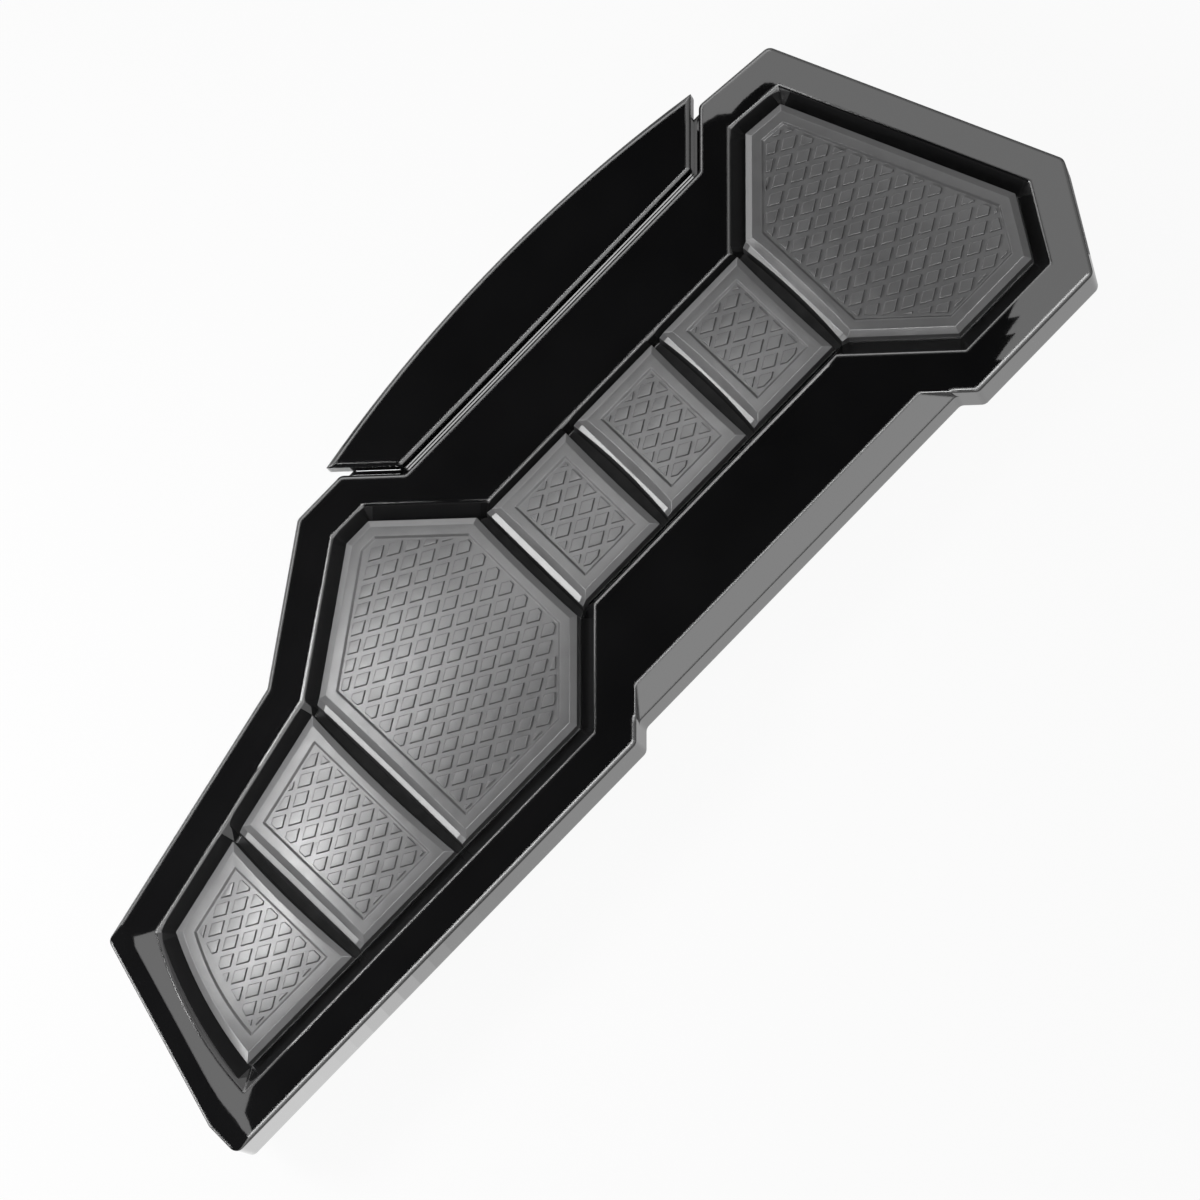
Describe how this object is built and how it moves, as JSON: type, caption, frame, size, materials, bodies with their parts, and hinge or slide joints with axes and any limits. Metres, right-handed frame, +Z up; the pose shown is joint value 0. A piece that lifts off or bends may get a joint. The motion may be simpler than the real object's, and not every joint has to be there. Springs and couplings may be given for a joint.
{
  "type": "motorcycle floorboard",
  "caption": "Rider's footboard for a motorcycle: painted cast board with a ribbed grey rubber tread of raised diamonds, a bowed outboard rail and pivot clevises underneath.",
  "frame": {"origin": "centre of the front pivot's bore, midway between the front clevis's ears", "axes": "+X forward to the toe along the pivot axis, +Y outboard to the rail, +Z up out of the tread"},
  "size_m": [0.4223, 0.1488, 0.038],
  "materials": {
    "painted_board": "gloss black paint on cast aluminium",
    "tread_rubber": "semi-gloss grey moulded rubber",
    "zinc_steel": "zinc plated",
    "clevis_metal": "satin black paint on cast aluminium"
  },
  "bodies": {
    "root": {"board_casting": "painted_board", "tread_pad": "tread_rubber", "outboard_rail": "painted_board", "rail_screws": "zinc_steel", "front_clevis": "clevis_metal", "rear_clevis": "clevis_metal", "clevis_screws": "zinc_steel"}
  },
  "joints": []
}
